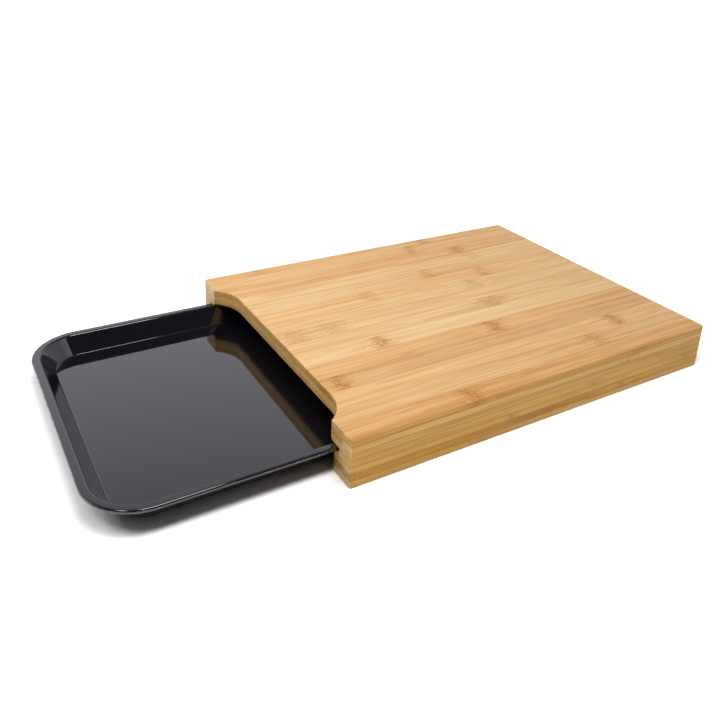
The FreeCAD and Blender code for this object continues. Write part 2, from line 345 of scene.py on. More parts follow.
def knuckle_group() -> bpy.types.NodeTree:
    """Build the mark of a bamboo knuckle across a strip: a ragged band of short brown and pale flecks.

    Returns:
        A group that puts out the brown flecks, the pale ones, the brown haze between them, and how far the
        knuckle pushes the fibres aside.
    """
    tree = GroupTree(
        "bamboo knuckle",
        {"Position": Kind.VECTOR, "Along": Kind.NUMBER, "Width": Kind.NUMBER, "Strength": Kind.NUMBER,
         "Seed": Kind.NUMBER},
        {"Fleck": Kind.NUMBER, "Pale": Kind.NUMBER, "Haze": Kind.NUMBER, "Wander": Kind.NUMBER},
    )
    given = tree.given
    shift = tree.vector("MULTIPLY", given["Seed"], (0.137, 0.217, 0.119))
    place = tree.vector("ADD", given["Position"], shift)
    x = tree.split(given["Position"])[0]
    off = tree.math("SUBTRACT", x, given["Along"])

    def aside(across: float, reach: float) -> Socket:
        """Return a shift along the grain that changes across it."""
        return tree.times(tree.swing(place, (0.0, across, across)), reach)

    bent = tree.math("ADD", off, tree.math("ADD", aside(70.0, 11.0 * MM), aside(420.0, 6.0 * MM)))
    near = tree.math("DIVIDE", tree.math("ABSOLUTE", bent), given["Width"])
    band = tree.fade(near, 0.35, 1.1)
    core = tree.math("ADD", bent, tree.times(given["Width"], 0.3))
    core = tree.fade(tree.math("ABSOLUTE", core), 0.4 * MM, 2.4 * MM)

    slant = tree.times(tree.split(place)[1], 0.35)
    slanted = tree.vector("ADD", place, tree.join(slant, 0.0, 0.0))
    dash = tree.noise(slanted, (620.0, 270.0, 270.0), distortion=0.9)
    brown = tree.times(tree.step(dash, 0.45, 0.58), tree.math("MAXIMUM", band, core))
    patch = tree.noise(place, (150.0, 190.0, 190.0))
    brown = tree.times(brown, tree.step(patch, 0.34, 0.52, 0.45, 1.0))
    pale = tree.times(tree.fade(dash, 0.34, 0.44), band)

    reach = tree.noise(place, (0.0, 760.0, 760.0), detail=0.0)
    reach = tree.times(tree.math("MULTIPLY_ADD", reach, 9.0, -3.0), given["Width"])
    reach = tree.math("MAXIMUM", reach, 0.2 * MM)
    whisker = tree.fade(tree.math("DIVIDE", tree.math("ABSOLUTE", bent), reach), 0.3, 1.0)

    fleck = tree.math("MAXIMUM", brown, tree.times(whisker, 0.5))
    tree.feed(tree.result["Fleck"], tree.times(fleck, given["Strength"]))
    tree.feed(tree.result["Pale"], tree.times(pale, given["Strength"]))
    haze = tree.times(tree.fade(near, 0.2, 1.7), tree.step(patch, 0.36, 0.6, 0.2, 1.0))
    haze = tree.times(haze, tree.math("POWER", given["Strength"], 2.0))
    tree.feed(tree.result["Haze"], haze)
    tree.feed(tree.result["Wander"], tree.fade(near, 0.6, 3.5))
    return tree.tree


def glue_group() -> bpy.types.NodeTree:
    """Build the fine dark line where a strip meets the next one, strongest between plies.

    A face that lies in the joint's own plane, such as an outer side, gets no line from it.

    Returns:
        A group that puts out the line.
    """
    tree = GroupTree(
        "glue line",
        {"Position": Kind.VECTOR, "Normal": Kind.VECTOR, "Low corner": Kind.VECTOR,
         "High corner": Kind.VECTOR, "Width": Kind.NUMBER},
        {"Line": Kind.NUMBER},
    )
    given = tree.given
    from_low = tree.vector("SUBTRACT", given["Position"], given["Low corner"])
    from_low = tree.split(tree.vector("ABSOLUTE", from_low))
    from_high = tree.vector("SUBTRACT", given["High corner"], given["Position"])
    from_high = tree.split(tree.vector("ABSOLUTE", from_high))
    facing = tree.split(tree.vector("ABSOLUTE", given["Normal"]))
    found: Value = 0.0
    for low, high, face, strength in zip(from_low, from_high, facing, (0.6, 0.4, 1.0)):
        line = tree.step(tree.math("MINIMUM", low, high), 0.0, given["Width"], strength, 0.0)
        line = tree.times(line, tree.fade(face, 0.4, 0.8))
        found = tree.math("MAXIMUM", line, found)
    patchy = tree.noise(given["Position"], (9.0, 90.0, 120.0), detail=2.0)
    found = tree.times(found, tree.step(patchy, 0.35, 0.62, 0.25, 1.0))
    tree.feed(tree.result["Line"], found)
    return tree.tree


def cut_tint_and_light_group() -> bpy.types.NodeTree:
    """Build the tint of bamboo on faces other than the top's: the edges, the cut ends and the finger scoop.
    It is partly their own colour and partly painted light.

    Returns:
        A group that puts out the tint to multiply with.
    """
    tree = GroupTree(
        "cut face",
        {"Position": Kind.VECTOR, "Normal": Kind.VECTOR, "Open end": Kind.NUMBER,
         "Edge": Kind.COLOUR, "End": Kind.COLOUR, "Scoop": Kind.COLOUR},
        {"Tint": Kind.COLOUR},
    )
    given = tree.given
    x, y, _ = tree.split(tree.vector("ABSOLUTE", given["Normal"]))
    along, across, _ = tree.split(given["Position"])
    inset = tree.math("SUBTRACT", along, given["Open end"])
    behind = tree.step(inset, 0.2 * MM, 0.8 * MM)
    scooped = tree.times(behind, tree.fade(inset, 30.0 * MM, 40.0 * MM))
    beside = tree.fade(tree.math("ABSOLUTE", across), 120.0 * MM, 130.0 * MM)
    scooped = tree.times(scooped, beside)
    # Faces turned across Y take the edge tint: the edges' olive colour plus painted light on the long sides.
    tint = tree.blend(tree.step(y, 0.2, 0.95), (1.0, 1.0, 1.0), given["Edge"])
    cut = tree.blend(scooped, given["End"], given["Scoop"])
    share = tree.step(tree.math("MAXIMUM", x, tree.times(scooped, y)), 0.3, 0.98)
    tree.feed(tree.result["Tint"], tree.blend(share, tint, cut))
    return tree.tree


def handling_group() -> bpy.types.NodeTree:
    """Build the faint wipe marks and dust that a handled surface has.

    Returns:
        A group that puts out the smears, the fine scratches and the dust, each 0 to 1.
    """
    tree = GroupTree(
        "handling",
        {"Position": Kind.VECTOR, "Seed": Kind.NUMBER},
        {"Smear": Kind.NUMBER, "Scratch": Kind.NUMBER, "Dust": Kind.NUMBER},
    )
    given = tree.given
    shift = tree.vector("MULTIPLY", given["Seed"], (0.31, 0.47, 0.13))
    place = tree.vector("ADD", given["Position"], shift)
    smear = tree.noise(place, (14.0, 22.0, 22.0), detail=3.0, distortion=0.8)
    tree.feed(tree.result["Smear"], tree.step(smear, 0.42, 0.66))
    hair = tree.noise(place, (35.0, 2600.0, 900.0), distortion=0.3)
    tree.feed(tree.result["Scratch"], tree.step(hair, 0.66, 0.74))
    speck = tree.node("ShaderNodeTexVoronoi", feature="F1")
    tree.feed(speck.inputs["Vector"], tree.vector("MULTIPLY", place, (210.0, 210.0, 210.0)))
    speck.inputs["Scale"].default_value = 1.0
    few = tree.step(tree.split(speck.outputs["Color"])[0], 0.93, 0.96)
    dot = tree.fade(speck.outputs["Distance"], 0.03, 0.09)
    tree.feed(tree.result["Dust"], tree.times(dot, few))
    return tree.tree


# ------------------------------------------ finishes


@dataclass(frozen=True)
class BambooTone:
    """The three colours that one bamboo strip is drawn in.

    Attributes:
        pale: its light streaks.
        body: its main colour.
        dark: its dark fibres.
    """

    pale: Colour
    body: Colour
    dark: Colour

    def shaded(self, shade: float) -> "BambooTone":
        """Return the same tone, lighter or darker by a factor."""
        return BambooTone(*(tuple(min(part * shade, 1.0) for part in colour)
                            for colour in (self.pale, self.body, self.dark)))


class Tone(Enum):
    """The bamboo tones in the board, from the palest strip to the browned one."""

    PALE = BambooTone(linear(249, 217, 164), linear(241, 204, 149), linear(224, 174, 112))
    LIGHT = BambooTone(linear(245, 210, 156), linear(236, 196, 140), linear(216, 163, 101))
    HONEY = BambooTone(linear(242, 203, 145), linear(233, 189, 131), linear(212, 153, 90))
    AMBER = BambooTone(linear(237, 193, 134), linear(226, 178, 119), linear(203, 141, 79))
    TAN = BambooTone(linear(228, 181, 119), linear(215, 166, 105), linear(190, 128, 68))
    OLIVE = BambooTone(linear(232, 189, 120), linear(220, 174, 105), linear(190, 137, 70))
    BROWN = BambooTone(linear(222, 174, 88), linear(206, 152, 68), linear(174, 112, 42))


@dataclass(frozen=True)
class Knuckle:
    """A bamboo knuckle on a strip.

    Attributes:
        along: distance from the board's open end.
        strength: how dark it is, 0 to 1.
        width: half its reach along the grain.
    """

    along: float
    strength: float = 0.7
    width: float = 6.5 * MM


@dataclass(frozen=True)
class StripLook:
    """How one strip or ply is finished.

    Attributes:
        tone: its colours.
        shade: how much lighter or darker it is than its tone; on the top strips it also holds painted light.
        knuckles: its knuckles.
        turned: whether its grain runs along Y, as in the rear rail.
        cut: how much lighter or darker its cut ends are than other ends: painted light above 1 and painted
            shade below it, on the board's near end.
    """

    tone: Tone
    shade: float = 1.0
    knuckles: tuple[Knuckle, ...] = ()
    turned: bool = False
    cut: float = 1.0


@dataclass(frozen=True)
class BambooFinish:
    """Oiled satin bamboo.

    Attributes:
        streaks: contrast of the wide tone streaks.
        fibres: contrast of the fine fibres.
        lines: darkness of the thin fibre lines.
        glue_width: reach of the dark line at a joint.
        glue: colour of that line.
        fleck: colour of a knuckle's brown flecks.
        haze: colour between the flecks.
        fleck_shares: how fully the haze and the pale flecks cover the grain.
        glue_share: how fully the line at a joint covers it.
        glue_depth: depth of that line, as a share of the grain's.
        edge: tint of the strips' edges, as on the board's long sides: their own more olive colour, and also
            painted light that brightens the sides.
        end: tint of the strips' cut ends: paler, bluer end grain, made brighter still as painted light on
            the end faces.
        scoop: tint of the finger scoop's cut face, much brighter than the strips: painted light on a face
            that looks onto the dark tray.
        top_scoop_light: the same on the top ply, less bright and browner: painted light that also holds the
            shade of the scoop's far side.
        bump: depth of the grain.
        sheen: specular level, low because the oil has soaked in.
    """

    streaks: float = 1.0
    fibres: float = 0.7
    lines: float = 0.62
    glue_width: float = 0.8 * MM
    glue: Colour = linear(160, 84, 22)
    fleck: Colour = linear(177, 116, 53)
    haze: Colour = linear(222, 158, 90)
    fleck_shares: tuple[float, float] = (0.6, 0.5)
    glue_share: float = 0.55
    glue_depth: float = 0.3
    # Painted light in part: the edge tint lifts the long sides' brightness as well as giving their olive
    # colour.
    edge: Colour = (1.08, 1.07, 0.69)
    # Painted light in part: the end tint brightens the cut ends beyond their own paler colour.
    end: Colour = (1.06, 1.17, 1.28)
    # Painted light: the scoop tint brightens the scoop's cut face, which gets little bounce from the dark
    # tray.
    scoop: Colour = (1.27, 1.3, 1.06)
    # Painted light and shade: the top ply's scoop face is lifted less and browned.
    top_scoop_light: Colour = (1.06, 1.0, 0.72)
    bump: float = 0.05 * MM
    sheen: float = 0.3

    def dress(self, node: bpy.types.Object, look: StripLook, seed: float, board: "BoardBox") -> None:
        """Give a CAD node its own bamboo.

        Args:
            node: the strip's object.
            look: its tone and knuckles.
            seed: where in the grain it is cut from.
            board: the board's outer box, whose sides have no glue line.
        """
        material = bpy.data.materials.new(f"bamboo_{node.name}")
        material.use_nodes = True
        tree = ShaderTree(material.node_tree)
        shader = tree.tree.nodes["Principled BSDF"]
        where = tree.node("ShaderNodeTexCoord").outputs
        place = where["Object"]
        if look.turned:
            x, y, z = tree.split(place)
            place = tree.join(y, x, z)

        marks: dict[str, Value] = {"Wander": 0.0, "Fleck": 0.0, "Pale": 0.0, "Haze": 0.0}
        for number, knuckle in enumerate(look.knuckles):
            mark = tree.place(GROUPS.knuckle, Position=place, Along=board.open_end + knuckle.along,
                              Width=knuckle.width, Strength=knuckle.strength, Seed=seed + number)
            for name, found in marks.items():
                marks[name] = tree.math("MAXIMUM", found, mark.outputs[name])

        tone = look.tone.value.shaded(look.shade)
        grain = tree.place(GROUPS.grain, Position=place, Seed=seed, Pale=tone.pale, Body=tone.body,
                           Dark=tone.dark, Streaks=self.streaks, Fibres=self.fibres, Lines=self.lines,
                           Wander=marks["Wander"])
        low, high = board.joint_corners(node.name)
        glue = tree.place(GROUPS.glue, Position=where["Object"], Normal=where["Normal"], Low_corner=low,
                          High_corner=high, Width=self.glue_width).outputs["Line"]
        colour = grain.outputs["Colour"]
        if look.knuckles:
            hazy, pale = self.fleck_shares
            colour = tree.blend(tree.times(marks["Haze"], hazy), colour, self.haze)
            colour = tree.blend(tree.times(marks["Pale"], pale), colour, tone.pale)
            colour = tree.blend(marks["Fleck"], colour, self.fleck)
        colour = tree.blend(tree.times(glue, self.glue_share), colour, self.glue)
        # A strip's cut factor scales the end tint: painted light on the near end above 1, painted shade
        # below.
        end = tuple(part * look.cut for part in self.end)
        # The scoop's tint, different on the top ply, is painted light.
        scoop = self.top_scoop_light if node.name.startswith("top") else self.scoop
        tint = tree.place(GROUPS.cut, Position=where["Object"], Normal=where["Normal"],
                          Open_end=board.open_end, Edge=self.edge, End=end, Scoop=scoop).outputs["Tint"]
        tree.feed(shader.inputs["Base Color"], tree.blend(1.0, colour, tint, "MULTIPLY"))
        tree.feed(shader.inputs["Roughness"], grain.outputs["Roughness"])
        shader.inputs["Specular IOR Level"].default_value = self.sheen

        bump = tree.node("ShaderNodeBump")
        bump.inputs["Distance"].default_value = self.bump
        depth = tree.math("SUBTRACT", grain.outputs["Height"], tree.times(glue, self.glue_depth))
        tree.feed(bump.inputs["Height"], tree.math("SUBTRACT", depth, marks["Fleck"]))
        tree.feed(shader.inputs["Normal"], bump.outputs["Normal"])
        node.data.materials.clear()
        node.data.materials.append(material)


@dataclass(frozen=True)
class GlossPlastic:
    """Moulded black plastic with a polished skin.

    Attributes:
        colour: the plastic itself.
        dust: colour of the dust on it.
        roughness: gloss of a clean spot.
        smeared: gloss of a wiped or handled spot.
        scratched: how much rougher a fine scratch is.
        ripple: depth of the slow waves that moulding leaves.
        ripples: how many of them there are in a metre.
        density: index of refraction, high as in melamine.
    """

    colour: Colour = (0.0045, 0.0042, 0.0065)
    dust: Colour = (0.09, 0.09, 0.095)
    roughness: float = 0.035
    smeared: float = 0.075
    scratched: float = 0.05
    ripple: float = 0.012 * MM
    ripples: float = 16.0
    density: float = 1.8

    def dress(self, piece: bpy.types.Object) -> None:
        """Give a moulded piece this finish.

        Args:
            piece: the piece's object.
        """
        material = bpy.data.materials.new("gloss_black_plastic")
        material.use_nodes = True
        tree = ShaderTree(material.node_tree)
        shader = tree.tree.nodes["Principled BSDF"]
        place = tree.node("ShaderNodeTexCoord").outputs["Object"]
        marks = tree.place(GROUPS.handling, Position=place, Seed=1.0)
        tree.feed(shader.inputs["Base Color"], tree.blend(marks.outputs["Dust"], self.colour, self.dust))
        added = self.smeared - self.roughness
        rough = tree.math("MULTIPLY_ADD", marks.outputs["Smear"], added, self.roughness)
        rough = tree.math("MULTIPLY_ADD", marks.outputs["Scratch"], self.scratched, rough)
        tree.feed(shader.inputs["Roughness"], rough)
        shader.inputs["IOR"].default_value = self.density
        bump = tree.node("ShaderNodeBump")
        bump.inputs["Distance"].default_value = self.ripple
        tree.feed(bump.inputs["Height"], tree.noise(place, (self.ripples,) * 3))
        tree.feed(shader.inputs["Normal"], bump.outputs["Normal"])
        piece.data.materials.append(material)


class Groups:
    """The shader node groups, each built once."""

    def __init__(self) -> None:
        """Build them all."""
        self.grain = grain_group()
        self.knuckle = knuckle_group()
        self.glue = glue_group()
        self.cut = cut_tint_and_light_group()
        self.handling = handling_group()


GROUPS = Groups()


# --------------------------------------------- board


# Where in the grain each ply's or rail's pieces are cut. A piece adds its number, so no two are alike.
SEEDS = {"top": 10.0, "core": 40.0, "lower": 70.0, "near": 100.0, "far": 120.0, "rear": 140.0}


class BoardBox:
    """The outer box of the wooden board, and where its strips meet."""

    NO_JOINT = 9.0
    SAME_PLACE = 0.05 * MM

    def __init__(self) -> None:
        """Read the box from the frame's nodes."""
        names = [name for name, node in frame["nodes"].items() if node["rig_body"] == "board"]
        boxes = [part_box(name) for name in names]
        self.low = Vector(min(low[i] for low, _ in boxes) for i in range(3))
        self.high = Vector(max(high[i] for _, high in boxes) for i in range(3))
        self.open_end = self.low.x

    def joint_corners(self, name: str) -> tuple[Vector, Vector]:
        """Find where a strip meets others.

        Args:
            name: the strip's node.

        Returns:
            Its low and high corners, moved far off on each side where it meets nothing.
        """
        low, high = (Vector(corner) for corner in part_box(name))
        for i in range(3):
            if abs(low[i] - self.low[i]) < self.SAME_PLACE:
                low[i] = -self.NO_JOINT
            if abs(high[i] - self.high[i]) < self.SAME_PLACE:
                high[i] = self.NO_JOINT
        return low, high


@dataclass
class BoardSlab:
    """The three plies of the slab: strips side by side, each its own CAD node.

    Attributes:
        finish: the bamboo.
        top: the looks of the cutting surface's strips, from the near side. Their shades are partly each
            strip's own tone and partly painted light, rising towards the far strips against the softboxes'
            fall-off.
        core: tone of the middle ply.
        lower: tone of the lowest ply.
        shades: how the shade varies from strip to strip in those two, repeated.
        near_knuckles: knuckles on the core strip that the near side shows.
        near_end_light: how much paler the cut ends of those two plies' near strips are than other ends, as
            painted light on the board's near end.
        next_to_near: the look of the core strip behind it, whose end shows beside the scoop.
    """

    finish: BambooFinish = BambooFinish()
    # Painted light in part: the shades rise towards the far strips to make up for the softboxes' fall-off
    # across the top.
    top: tuple[StripLook, ...] = (
        # Strip 1's cut end is paler (cut=1.08): painted light on the board's near end.
        StripLook(Tone.TAN, 0.99, (Knuckle(0.112, 1.0, 8.0 * MM),), cut=1.08),
        StripLook(Tone.HONEY, 0.9, (Knuckle(0.269, 0.6, 9.0 * MM),)),
        StripLook(Tone.HONEY, 0.94, (Knuckle(0.311, 0.9, 7.5 * MM),)),
        StripLook(Tone.AMBER, 0.9, (Knuckle(0.029, 0.95, 8.5 * MM),)),
        StripLook(Tone.AMBER, 1.0, (Knuckle(0.200, 0.95, 7.5 * MM),)),
        StripLook(Tone.PALE, 0.97, (Knuckle(0.092, 0.8, 9.0 * MM),)),
        StripLook(Tone.LIGHT, 0.99, (Knuckle(0.230, 0.6, 12.0 * MM),)),
        StripLook(Tone.LIGHT, 1.0, (Knuckle(0.066, 0.4, 10.0 * MM), Knuckle(0.030, 0.45, 12.0 * MM))),
        StripLook(Tone.LIGHT, 1.02, (Knuckle(0.240, 0.4, 8.0 * MM),)),
        StripLook(Tone.HONEY, 1.07, (Knuckle(0.128, 0.4, 8.0 * MM), Knuckle(0.268, 0.55, 7.0 * MM))),
        StripLook(Tone.LIGHT, 1.03, (Knuckle(0.213, 0.55, 8.0 * MM),)),
        StripLook(Tone.LIGHT, 1.08, (Knuckle(0.286, 0.3, 9.0 * MM),)),
        StripLook(Tone.AMBER, 1.13, (Knuckle(0.281, 0.75, 7.0 * MM),)),
        StripLook(Tone.HONEY, 1.11, (Knuckle(0.232, 0.55, 6.0 * MM),)),
        StripLook(Tone.HONEY, 1.1, (Knuckle(0.056, 0.45, 8.0 * MM), Knuckle(0.259, 0.75, 6.0 * MM))),
    )
    core: Tone = Tone.HONEY
    lower: Tone = Tone.AMBER
    shades: tuple[float, ...] = (0.96, 0.94, 1.0)
    near_knuckles: tuple[Knuckle, ...] = (Knuckle(0.275, 0.5),)
    near_end_light: float = 1.1
    next_to_near: StripLook = StripLook(Tone.BROWN, 1.12)

    def dress(self, board: BoardBox) -> None:
        """Finish every strip of the slab.

        Args:
            board: the board's outer box.
        """
        for number, look in enumerate(self.top, start=1):
            node = frame["nodes"][f"top_ply_strip_{number:02d}"]
            self.finish.dress(node, look, SEEDS["top"] + number, board)
        for ply, tone in (("core", self.core), ("lower", self.lower)):
            for number in range(1, len(self.top) + 1):
                knuckles = self.near_knuckles if (ply, number) == ("core", 1) else ()
                # Painted light: the near strips' cut ends are brightened on the board's near end.
                cut = self.near_end_light if number == 1 else 1.0
                look = StripLook(tone, self.shades[number % len(self.shades)], knuckles, cut=cut)
                if (ply, number) == ("core", 2):
                    look = self.next_to_near
                node = frame["nodes"][f"{ply}_ply_strip_{number:02d}"]
                self.finish.dress(node, look, SEEDS[ply] + number, board)
        LOG.info("slab: %d strips in three plies", 3 * len(self.top))


@dataclass
class Rails:
    """The near, far and rear rails under the slab, four plies each.

    Attributes:
        finish: the bamboo.
        near: the looks of the near rail's plies, from the table up.
        far: the looks of the far rail's plies.
        rear: the tones of the rear rail's plies, whose grain runs across the board.
    """

    finish: BambooFinish = BambooFinish()
    near: tuple[StripLook, ...] = (
        StripLook(Tone.OLIVE, 0.88, (Knuckle(0.121, 0.5),)),
        # This ply's cut end is darker (cut=0.77): painted shade low on the near end, beside the tray.
        StripLook(Tone.BROWN, 1.0, (Knuckle(0.006, 0.8, 5.0 * MM), Knuckle(0.274, 0.9, 4.0 * MM)), cut=0.77),
        StripLook(Tone.OLIVE, 0.98, (Knuckle(0.149, 0.5, 4.0 * MM), Knuckle(0.362, 0.5, 5.0 * MM))),
        StripLook(Tone.OLIVE, 1.03, (Knuckle(0.240, 0.6, 5.0 * MM),)),
    )
    far: tuple[StripLook, ...] = (
        StripLook(Tone.OLIVE, 0.95, (Knuckle(0.190, 0.5),)),
        StripLook(Tone.AMBER, 1.0, (Knuckle(0.082, 0.5),)),
        StripLook(Tone.OLIVE),
        StripLook(Tone.AMBER, 1.0, (Knuckle(0.301, 0.6),)),
    )
    rear: tuple[Tone, ...] = (Tone.AMBER, Tone.OLIVE, Tone.TAN, Tone.OLIVE)

    def dress(self, board: BoardBox) -> None:
        """Finish every ply of the rails.

        Args:
            board: the board's outer box.
        """
        rear = tuple(StripLook(tone, turned=True) for tone in self.rear)
        for side, looks in (("near", self.near), ("far", self.far), ("rear", rear)):
            for number, look in enumerate(looks, start=1):
                node = frame["nodes"][f"{side}_rail_ply_{number}"]
                self.finish.dress(node, look, SEEDS[side] + number, board)
            LOG.info("%s rail: %d plies", side, len(looks))


# ---------------------------------------------- tray


@dataclass(frozen=True)
class Corner:
    """A corner of the tray's cross-section.

    Attributes:
        inset: distance in from the rim's outer edge, along a side wall.
        height: height above the table.
        radius: radius of the fillet there.
    """

    inset: float
    height: float
    radius: float


@dataclass
class DrawerTray:
    """The black tray, a shell of one thickness whose rim is carried by the rails' grooves.

    Attributes:
        finish: the plastic.
        rim_width: width of the flat rim.
        rim_thickness: thickness of the rim.
        rim_corner: radius of the rim's outline at its corners.
        floor_corner: radius of the floor's outline at its corners.
        floor_depth: depth of the floor below the rim.
        side_run: how far a side wall leans in from rim to floor.
        end_run: how far an end wall leans in.
        wall: thickness of floor and walls.
        rim_fillets: radii at the rim's inner, upper outer and lower outer edges.
        root_fillet: radius where the wall meets the rim's underside.
        floor_fillets: radii at the floor's edge, inside and underneath.
        floor_border: width of the floor that is swept with the walls.
        arc_steps: points round each corner of the outline.
        side_steps: points along each straight side.
        fillet_steps: points round each fillet of the cross-section.
        flatness: how far the flat faces set the shading, in percent.
        low: the low corner of the CAD tray's box.
        high: its high corner.
    """

    finish: GlossPlastic = GlossPlastic()
    rim_width: float = 6.8 * MM
    rim_thickness: float = 3.3 * MM
    rim_corner: float = 42.0 * MM
    floor_corner: float = 25.0 * MM
    floor_depth: float = 16.3 * MM
    side_run: float = 8.8 * MM
    end_run: float = 11.4 * MM
    wall: float = 2.4 * MM
    rim_fillets: tuple[float, float, float] = (2.5 * MM, 1.7 * MM, 1.5 * MM)
    root_fillet: float = 1.0 * MM
    floor_fillets: tuple[float, float] = (1.2 * MM, 2.5 * MM)
    floor_border: float = 6.0 * MM
    arc_steps: int = 28
    side_steps: int = 12
    fillet_steps: int = 8
    flatness: int = 90
    low: Vector = field(default_factory=lambda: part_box("tray")[0])
    high: Vector = field(default_factory=lambda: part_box("tray")[1])

    def section(self) -> list[tuple[float, float]]:
        """Draw the cross-section of rim and wall, from the floor's top round to its underside.

        Returns:
            Insets and heights of its points.
        """
        top = self.high.z
        lean = self.side_run / self.floor_depth
        shift = self.wall * math.hypot(1.0, lean)
        under = top - self.rim_thickness
        inner, outer, lip = self.rim_fillets
        inside, underneath = self.floor_fillets
        floor_inset = self.rim_width + self.side_run
        border_inset = floor_inset + self.floor_border
        root_inset = self.rim_width + self.rim_thickness * lean - shift
        foot_inset = self.rim_width + (top - self.low.z) * lean - shift
        corners = [
            Corner(border_inset, top - self.floor_depth, 0.0),
            Corner(floor_inset, top - self.floor_depth, inside),
            Corner(self.rim_width, top, inner),
            Corner(0.0, top, outer),
            Corner(0.0, under, lip),
            Corner(root_inset, under, self.root_fillet),
            Corner(foot_inset, self.low.z, underneath),
            Corner(border_inset, self.low.z, 0.0),
        ]
        points: list[tuple[float, float]] = []
        for before, corner, after in zip([corners[0]] + corners, corners, corners[1:] + [corners[-1]]):
            points += self.fillet(before, corner, after)
        return points

    def fillet(self, before: Corner, corner: Corner, after: Corner) -> list[tuple[float, float]]:
        """Round one corner of the cross-section.

        Args:
            before: the corner before it.
            corner: the corner to round.
            after: the corner after it.

        Returns:
            The points of its arc, or the corner itself where it has no radius.
        """
        here = Vector((corner.inset, corner.height))
        if corner.radius == 0.0:
            return [tuple(here)]
        back = (Vector((before.inset, before.height)) - here).normalized()
        ahead = (Vector((after.inset, after.height)) - here).normalized()
        half = back.angle(ahead) / 2
        centre = here + (back + ahead).normalized() * (corner.radius / math.sin(half))
        start = here + back * (corner.radius / math.tan(half)) - centre
        end = here + ahead * (corner.radius / math.tan(half)) - centre
        turn = start.angle_signed(end)
        arc = []
        for step in range(self.fillet_steps + 1):
            angle = -turn * step / self.fillet_steps
            spoke = Vector((start.x * math.cos(angle) - start.y * math.sin(angle),
                            start.x * math.sin(angle) + start.y * math.cos(angle)))
            arc.append(tuple(centre + spoke))
        return arc

    def outline(self, inset: float, height: float) -> list[tuple[float, float, float]]:
        """Draw the rounded rectangle that one point of the cross-section follows.

        Args:
            inset: the point's distance in from the rim's outer edge, along a side wall.
            height: its height.

        Returns:
            The outline's points, anticlockwise seen from above.
        """
        leaned = max(inset - self.rim_width, 0.0)
        inset_x = inset + leaned * (self.end_run / self.side_run - 1.0)
        shrink = (self.rim_corner - self.rim_width - self.floor_corner) / self.side_run
        radius = self.rim_corner - min(inset, self.rim_width) - leaned * shrink
        centre = (self.low + self.high) / 2
        half_x = (self.high.x - self.low.x) / 2 - inset_x - radius
        half_y = (self.high.y - self.low.y) / 2 - inset - radius
        points = []
        for quarter, (sign_x, sign_y) in enumerate(((1, 1), (-1, 1), (-1, -1), (1, -1))):
            arc = []
            for step in range(self.arc_steps + 1):
                angle = math.pi / 2 * (quarter + step / self.arc_steps)
                arc.append((centre.x + sign_x * half_x + radius * math.cos(angle),
                            centre.y + sign_y * half_y + radius * math.sin(angle), height))
            points += self.bridge(points[-1], arc[0]) if points else []
            points += arc
        return points + self.bridge(points[-1], points[0])

    def bridge(self, start: Sequence[float], end: Sequence[float]) -> list[tuple[float, float, float]]:
        """Return the points between the ends of a straight side."""
        first, last = Vector(start), Vector(end)
        return [tuple(first.lerp(last, step / self.side_steps)) for step in range(1, self.side_steps)]

    def build(self) -> None:
        """Sweep the cross-section round the outline, close it with the floor's faces and put it in place."""
        rings = [self.outline(inset, height) for inset, height in self.section()]
        count = len(rings[0])
        vertices = [point for ring in rings for point in ring]
        faces = [tuple(range(count)), tuple(reversed(range(len(vertices) - count, len(vertices))))]
        for ring in range(len(rings) - 1):
            for step in range(count):
                here, beside = ring * count + step, ring * count + (step + 1) % count
                faces.append((beside, here, here + count, beside + count))
        mesh = bpy.data.meshes.new("drawer_tray_shell")
        mesh.from_pydata(vertices, [], faces)
        mesh.shade_smooth()
        tray = bpy.data.objects.new("drawer_tray_shell", mesh)
        bpy.context.scene.collection.objects.link(tray)
        flat = tray.modifiers.new("flat faces stay flat", "WEIGHTED_NORMAL")
        flat.weight = self.flatness
        self.finish.dress(tray)
        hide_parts("tray")
        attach(tray, "tray")
        LOG.info("tray: %d rings of %d points", len(rings), count)


# -------------------------------------------- studio


@dataclass(frozen=True)
class Softbox:
    """A soft lamp that hangs over the table and looks straight down.

    Attributes:
        name: its name.
        place: where it hangs.
        size: its width along X and its depth along Y.
        power: in watts.
        mirrored: whether gloss shows it.
    """

    name: str
    place: tuple[float, float, float]
    size: tuple[float, float]
    power: float
    mirrored: bool = True


@dataclass(frozen=True)
class DarkPatch:
    """A darker part of the room's wall.

    Attributes:
        azimuth: its middle, in degrees from -Y towards +X.
        half_width: half its width, in degrees.
        top: sine of the elevation where it ends.
        colour: its colour.
    """

    azimuth: float
    half_width: float
    top: float
    colour: Colour


